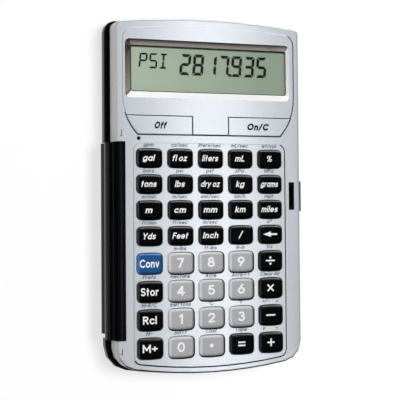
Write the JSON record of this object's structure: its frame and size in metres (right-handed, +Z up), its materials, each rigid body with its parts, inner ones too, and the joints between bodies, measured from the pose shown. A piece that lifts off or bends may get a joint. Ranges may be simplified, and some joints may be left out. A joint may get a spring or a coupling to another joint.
{
  "type": "construction calculator",
  "caption": "Handheld construction calculator with sloping rows of keys, a recessed display and a hard cover that folds right round behind it on a two-axis spine.",
  "frame": {"origin": "on the desk, under the middle of the part's box, with the calculator face up on its folded cover", "axes": "+X to the calculator's right, +Y towards its display end, +Z up out of the keys"},
  "size_m": [0.0836, 0.1452, 0.0197],
  "materials": {
    "silver_case": "satin silver paint",
    "black_gloss": "gloss",
    "rear_black": "fine spark texture",
    "key_black": "gloss with white legends",
    "key_grey": "satin with white legends",
    "key_blue": "gloss",
    "lens": "clear",
    "lcd": "reflective liquid crystal",
    "zebra": "striped conductive rubber",
    "board": "solder mask",
    "keypad_rubber": "matte",
    "steel": "bright"
  },
  "bodies": {
    "case": {"front_shell": "silver_case", "rear_shell": "rear_black", "display_lens": "lens", "lcd_glass": "lcd", "zebra_strip": "zebra", "circuit_board": "board", "rubber_keypad": "keypad_rubber", "battery": "steel", "battery_contact": "steel", "body_hinge_pin": "steel", "case_screw_1": "steel", "case_screw_2": "steel", "case_screw_3": "steel"},
    "spine": {"hinge_spine": "black_gloss"},
    "cover": {"cover": "black_gloss", "cover_hinge_pin": "steel"},
    "battery_door": {"battery_door": "rear_black"},
    "release_button": {"release_button": "black_gloss"},
    "key_gallon": {"key_gallon": "key_black"},
    "key_fluid_ounce": {"key_fluid_ounce": "key_black"},
    "key_liter": {"key_liter": "key_black"},
    "key_milliliter": {"key_milliliter": "key_black"},
    "key_percent": {"key_percent": "key_black"},
    "key_ton": {"key_ton": "key_black"},
    "key_pound": {"key_pound": "key_black"},
    "key_dry_ounce": {"key_dry_ounce": "key_black"},
    "key_kilogram": {"key_kilogram": "key_black"},
    "key_gram": {"key_gram": "key_black"},
    "key_meter": {"key_meter": "key_black"},
    "key_centimeter": {"key_centimeter": "key_black"},
    "key_millimeter": {"key_millimeter": "key_black"},
    "key_kilometer": {"key_kilometer": "key_black"},
    "key_mile": {"key_mile": "key_black"},
    "key_yard": {"key_yard": "key_black"},
    "key_foot": {"key_foot": "key_black"},
    "key_inch": {"key_inch": "key_black"},
    "key_fraction_bar": {"key_fraction_bar": "key_black"},
    "key_backspace": {"key_backspace": "key_black"},
    "key_convert": {"key_convert": "key_blue"},
    "key_digit_7": {"key_digit_7": "key_grey"},
    "key_digit_8": {"key_digit_8": "key_grey"},
    "key_digit_9": {"key_digit_9": "key_grey"},
    "key_divide": {"key_divide": "key_black"},
    "key_store": {"key_store": "key_black"},
    "key_digit_4": {"key_digit_4": "key_grey"},
    "key_digit_5": {"key_digit_5": "key_grey"},
    "key_digit_6": {"key_digit_6": "key_grey"},
    "key_multiply": {"key_multiply": "key_black"},
    "key_recall": {"key_recall": "key_black"},
    "key_digit_1": {"key_digit_1": "key_grey"},
    "key_digit_2": {"key_digit_2": "key_grey"},
    "key_digit_3": {"key_digit_3": "key_grey"},
    "key_minus": {"key_minus": "key_black"},
    "key_memory_plus": {"key_memory_plus": "key_black"},
    "key_digit_0": {"key_digit_0": "key_grey"},
    "key_decimal_point": {"key_decimal_point": "key_grey"},
    "key_equals": {"key_equals": "key_black"},
    "key_plus": {"key_plus": "key_black"},
    "key_off": {"key_off": "silver_case"},
    "key_on_clear": {"key_on_clear": "silver_case"}
  },
  "joints": [
    {"name": "spine_hinge", "type": "hinge", "parent": "case", "child": "spine", "pos_m": [-0.03665, -0.0177, 0.0125], "axis": [0, 1, 0], "range_deg": [0, 143.79]},
    {"name": "cover_hinge", "type": "hinge", "parent": "spine", "child": "cover", "pos_m": [-0.0392, -0.0177, 0.0047], "axis": [0, 1, 0], "range_deg": [0, 216.21]},
    {"name": "battery_door_slide", "type": "slide", "parent": "case", "child": "battery_door", "axis": [0, 1, 0], "range_m": [0, 0.026]},
    {"name": "release_button_press", "type": "slide", "parent": "case", "child": "release_button", "axis": [-1, 0, 0], "range_m": [0, 0.001], "stiffness_N_per_m": 900, "springref_m": -0.0006},
    {"name": "press_gallon", "type": "slide", "parent": "case", "child": "key_gallon", "axis": [0, 0, -1], "range_m": [0, 0.0008], "stiffness_N_per_m": 800, "springref_m": -0.0005, "deforming": ["rubber_keypad"]},
    {"name": "press_fluid_ounce", "type": "slide", "parent": "case", "child": "key_fluid_ounce", "axis": [0, 0, -1], "range_m": [0, 0.0008], "stiffness_N_per_m": 800, "springref_m": -0.0005, "deforming": ["rubber_keypad"]},
    {"name": "press_liter", "type": "slide", "parent": "case", "child": "key_liter", "axis": [0, 0, -1], "range_m": [0, 0.0008], "stiffness_N_per_m": 800, "springref_m": -0.0005, "deforming": ["rubber_keypad"]},
    {"name": "press_milliliter", "type": "slide", "parent": "case", "child": "key_milliliter", "axis": [0, 0, -1], "range_m": [0, 0.0008], "stiffness_N_per_m": 800, "springref_m": -0.0005, "deforming": ["rubber_keypad"]},
    {"name": "press_percent", "type": "slide", "parent": "case", "child": "key_percent", "axis": [0, 0, -1], "range_m": [0, 0.0008], "stiffness_N_per_m": 800, "springref_m": -0.0005, "deforming": ["rubber_keypad"]},
    {"name": "press_ton", "type": "slide", "parent": "case", "child": "key_ton", "axis": [0, 0, -1], "range_m": [0, 0.0008], "stiffness_N_per_m": 800, "springref_m": -0.0005, "deforming": ["rubber_keypad"]},
    {"name": "press_pound", "type": "slide", "parent": "case", "child": "key_pound", "axis": [0, 0, -1], "range_m": [0, 0.0008], "stiffness_N_per_m": 800, "springref_m": -0.0005, "deforming": ["rubber_keypad"]},
    {"name": "press_dry_ounce", "type": "slide", "parent": "case", "child": "key_dry_ounce", "axis": [0, 0, -1], "range_m": [0, 0.0008], "stiffness_N_per_m": 800, "springref_m": -0.0005, "deforming": ["rubber_keypad"]},
    {"name": "press_kilogram", "type": "slide", "parent": "case", "child": "key_kilogram", "axis": [0, 0, -1], "range_m": [0, 0.0008], "stiffness_N_per_m": 800, "springref_m": -0.0005, "deforming": ["rubber_keypad"]},
    {"name": "press_gram", "type": "slide", "parent": "case", "child": "key_gram", "axis": [0, 0, -1], "range_m": [0, 0.0008], "stiffness_N_per_m": 800, "springref_m": -0.0005, "deforming": ["rubber_keypad"]},
    {"name": "press_meter", "type": "slide", "parent": "case", "child": "key_meter", "axis": [0, 0, -1], "range_m": [0, 0.0008], "stiffness_N_per_m": 800, "springref_m": -0.0005, "deforming": ["rubber_keypad"]},
    {"name": "press_centimeter", "type": "slide", "parent": "case", "child": "key_centimeter", "axis": [0, 0, -1], "range_m": [0, 0.0008], "stiffness_N_per_m": 800, "springref_m": -0.0005, "deforming": ["rubber_keypad"]},
    {"name": "press_millimeter", "type": "slide", "parent": "case", "child": "key_millimeter", "axis": [0, 0, -1], "range_m": [0, 0.0008], "stiffness_N_per_m": 800, "springref_m": -0.0005, "deforming": ["rubber_keypad"]},
    {"name": "press_kilometer", "type": "slide", "parent": "case", "child": "key_kilometer", "axis": [0, 0, -1], "range_m": [0, 0.0008], "stiffness_N_per_m": 800, "springref_m": -0.0005, "deforming": ["rubber_keypad"]},
    {"name": "press_mile", "type": "slide", "parent": "case", "child": "key_mile", "axis": [0, 0, -1], "range_m": [0, 0.0008], "stiffness_N_per_m": 800, "springref_m": -0.0005, "deforming": ["rubber_keypad"]},
    {"name": "press_yard", "type": "slide", "parent": "case", "child": "key_yard", "axis": [0, 0, -1], "range_m": [0, 0.0008], "stiffness_N_per_m": 800, "springref_m": -0.0005, "deforming": ["rubber_keypad"]},
    {"name": "press_foot", "type": "slide", "parent": "case", "child": "key_foot", "axis": [0, 0, -1], "range_m": [0, 0.0008], "stiffness_N_per_m": 800, "springref_m": -0.0005, "deforming": ["rubber_keypad"]},
    {"name": "press_inch", "type": "slide", "parent": "case", "child": "key_inch", "axis": [0, 0, -1], "range_m": [0, 0.0008], "stiffness_N_per_m": 800, "springref_m": -0.0005, "deforming": ["rubber_keypad"]},
    {"name": "press_fraction_bar", "type": "slide", "parent": "case", "child": "key_fraction_bar", "axis": [0, 0, -1], "range_m": [0, 0.0008], "stiffness_N_per_m": 800, "springref_m": -0.0005, "deforming": ["rubber_keypad"]},
    {"name": "press_backspace", "type": "slide", "parent": "case", "child": "key_backspace", "axis": [0, 0, -1], "range_m": [0, 0.0008], "stiffness_N_per_m": 800, "springref_m": -0.0005, "deforming": ["rubber_keypad"]},
    {"name": "press_convert", "type": "slide", "parent": "case", "child": "key_convert", "axis": [0, 0, -1], "range_m": [0, 0.0008], "stiffness_N_per_m": 800, "springref_m": -0.0005, "deforming": ["rubber_keypad"]},
    {"name": "press_digit_7", "type": "slide", "parent": "case", "child": "key_digit_7", "axis": [0, 0, -1], "range_m": [0, 0.0008], "stiffness_N_per_m": 800, "springref_m": -0.0005, "deforming": ["rubber_keypad"]},
    {"name": "press_digit_8", "type": "slide", "parent": "case", "child": "key_digit_8", "axis": [0, 0, -1], "range_m": [0, 0.0008], "stiffness_N_per_m": 800, "springref_m": -0.0005, "deforming": ["rubber_keypad"]},
    {"name": "press_digit_9", "type": "slide", "parent": "case", "child": "key_digit_9", "axis": [0, 0, -1], "range_m": [0, 0.0008], "stiffness_N_per_m": 800, "springref_m": -0.0005, "deforming": ["rubber_keypad"]},
    {"name": "press_divide", "type": "slide", "parent": "case", "child": "key_divide", "axis": [0, 0, -1], "range_m": [0, 0.0008], "stiffness_N_per_m": 800, "springref_m": -0.0005, "deforming": ["rubber_keypad"]},
    {"name": "press_store", "type": "slide", "parent": "case", "child": "key_store", "axis": [0, 0, -1], "range_m": [0, 0.0008], "stiffness_N_per_m": 800, "springref_m": -0.0005, "deforming": ["rubber_keypad"]},
    {"name": "press_digit_4", "type": "slide", "parent": "case", "child": "key_digit_4", "axis": [0, 0, -1], "range_m": [0, 0.0008], "stiffness_N_per_m": 800, "springref_m": -0.0005, "deforming": ["rubber_keypad"]},
    {"name": "press_digit_5", "type": "slide", "parent": "case", "child": "key_digit_5", "axis": [0, 0, -1], "range_m": [0, 0.0008], "stiffness_N_per_m": 800, "springref_m": -0.0005, "deforming": ["rubber_keypad"]},
    {"name": "press_digit_6", "type": "slide", "parent": "case", "child": "key_digit_6", "axis": [0, 0, -1], "range_m": [0, 0.0008], "stiffness_N_per_m": 800, "springref_m": -0.0005, "deforming": ["rubber_keypad"]},
    {"name": "press_multiply", "type": "slide", "parent": "case", "child": "key_multiply", "axis": [0, 0, -1], "range_m": [0, 0.0008], "stiffness_N_per_m": 800, "springref_m": -0.0005, "deforming": ["rubber_keypad"]},
    {"name": "press_recall", "type": "slide", "parent": "case", "child": "key_recall", "axis": [0, 0, -1], "range_m": [0, 0.0008], "stiffness_N_per_m": 800, "springref_m": -0.0005, "deforming": ["rubber_keypad"]},
    {"name": "press_digit_1", "type": "slide", "parent": "case", "child": "key_digit_1", "axis": [0, 0, -1], "range_m": [0, 0.0008], "stiffness_N_per_m": 800, "springref_m": -0.0005, "deforming": ["rubber_keypad"]},
    {"name": "press_digit_2", "type": "slide", "parent": "case", "child": "key_digit_2", "axis": [0, 0, -1], "range_m": [0, 0.0008], "stiffness_N_per_m": 800, "springref_m": -0.0005, "deforming": ["rubber_keypad"]},
    {"name": "press_digit_3", "type": "slide", "parent": "case", "child": "key_digit_3", "axis": [0, 0, -1], "range_m": [0, 0.0008], "stiffness_N_per_m": 800, "springref_m": -0.0005, "deforming": ["rubber_keypad"]},
    {"name": "press_minus", "type": "slide", "parent": "case", "child": "key_minus", "axis": [0, 0, -1], "range_m": [0, 0.0008], "stiffness_N_per_m": 800, "springref_m": -0.0005, "deforming": ["rubber_keypad"]},
    {"name": "press_memory_plus", "type": "slide", "parent": "case", "child": "key_memory_plus", "axis": [0, 0, -1], "range_m": [0, 0.0008], "stiffness_N_per_m": 800, "springref_m": -0.0005, "deforming": ["rubber_keypad"]},
    {"name": "press_digit_0", "type": "slide", "parent": "case", "child": "key_digit_0", "axis": [0, 0, -1], "range_m": [0, 0.0008], "stiffness_N_per_m": 800, "springref_m": -0.0005, "deforming": ["rubber_keypad"]},
    {"name": "press_decimal_point", "type": "slide", "parent": "case", "child": "key_decimal_point", "axis": [0, 0, -1], "range_m": [0, 0.0008], "stiffness_N_per_m": 800, "springref_m": -0.0005, "deforming": ["rubber_keypad"]},
    {"name": "press_equals", "type": "slide", "parent": "case", "child": "key_equals", "axis": [0, 0, -1], "range_m": [0, 0.0008], "stiffness_N_per_m": 800, "springref_m": -0.0005, "deforming": ["rubber_keypad"]},
    {"name": "press_plus", "type": "slide", "parent": "case", "child": "key_plus", "axis": [0, 0, -1], "range_m": [0, 0.0008], "stiffness_N_per_m": 800, "springref_m": -0.0005, "deforming": ["rubber_keypad"]},
    {"name": "press_off", "type": "slide", "parent": "case", "child": "key_off", "axis": [0, 0, -1], "range_m": [0, 0.0008], "stiffness_N_per_m": 800, "springref_m": -0.0005, "deforming": ["rubber_keypad"]},
    {"name": "press_on_clear", "type": "slide", "parent": "case", "child": "key_on_clear", "axis": [0, 0, -1], "range_m": [0, 0.0008], "stiffness_N_per_m": 800, "springref_m": -0.0005, "deforming": ["rubber_keypad"]}
  ]
}
